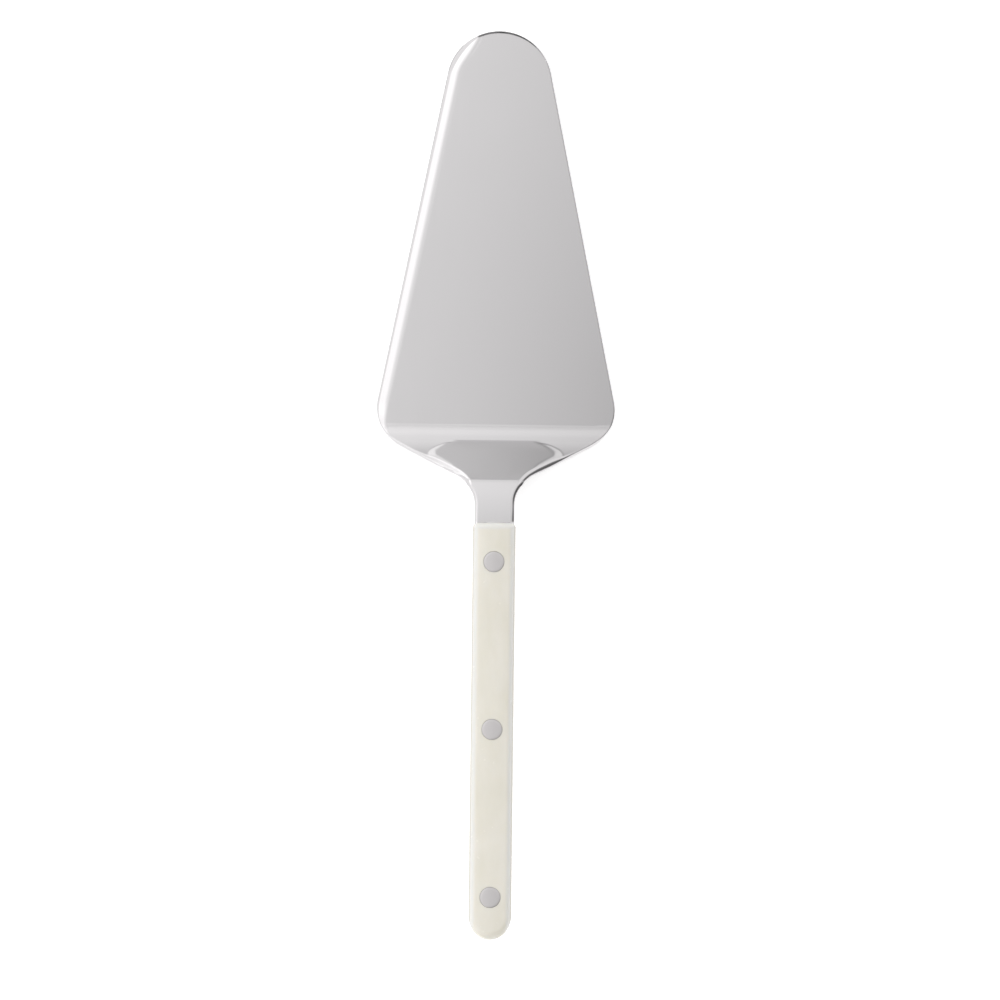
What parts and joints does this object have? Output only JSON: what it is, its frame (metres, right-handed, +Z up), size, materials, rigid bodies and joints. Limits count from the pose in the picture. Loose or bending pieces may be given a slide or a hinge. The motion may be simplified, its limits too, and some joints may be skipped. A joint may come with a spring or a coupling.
{
  "type": "cake server",
  "caption": "Cake server with a tapered round-tipped steel blade, cranked neck and full tang between riveted ivory handle scales.",
  "frame": {"origin": "middle of the overall length and width, on the plane that the blade rests on", "axes": "+Y along the blade towards its tip, +Z up out of the serving face, +X to the right with the tip ahead"},
  "size_m": [0.0698, 0.2635, 0.0364],
  "materials": {
    "blade_steel": "polished stainless steel",
    "handle_resin": "polished ivory acrylic",
    "rivet_steel": "ground flush and polished"
  },
  "bodies": {
    "root": {"blade": "blade_steel", "front_scale": "handle_resin", "back_scale": "handle_resin", "neck_rivet_socket": "rivet_steel", "neck_rivet_post": "rivet_steel", "middle_rivet_socket": "rivet_steel", "middle_rivet_post": "rivet_steel", "end_rivet_socket": "rivet_steel", "end_rivet_post": "rivet_steel"}
  },
  "joints": []
}
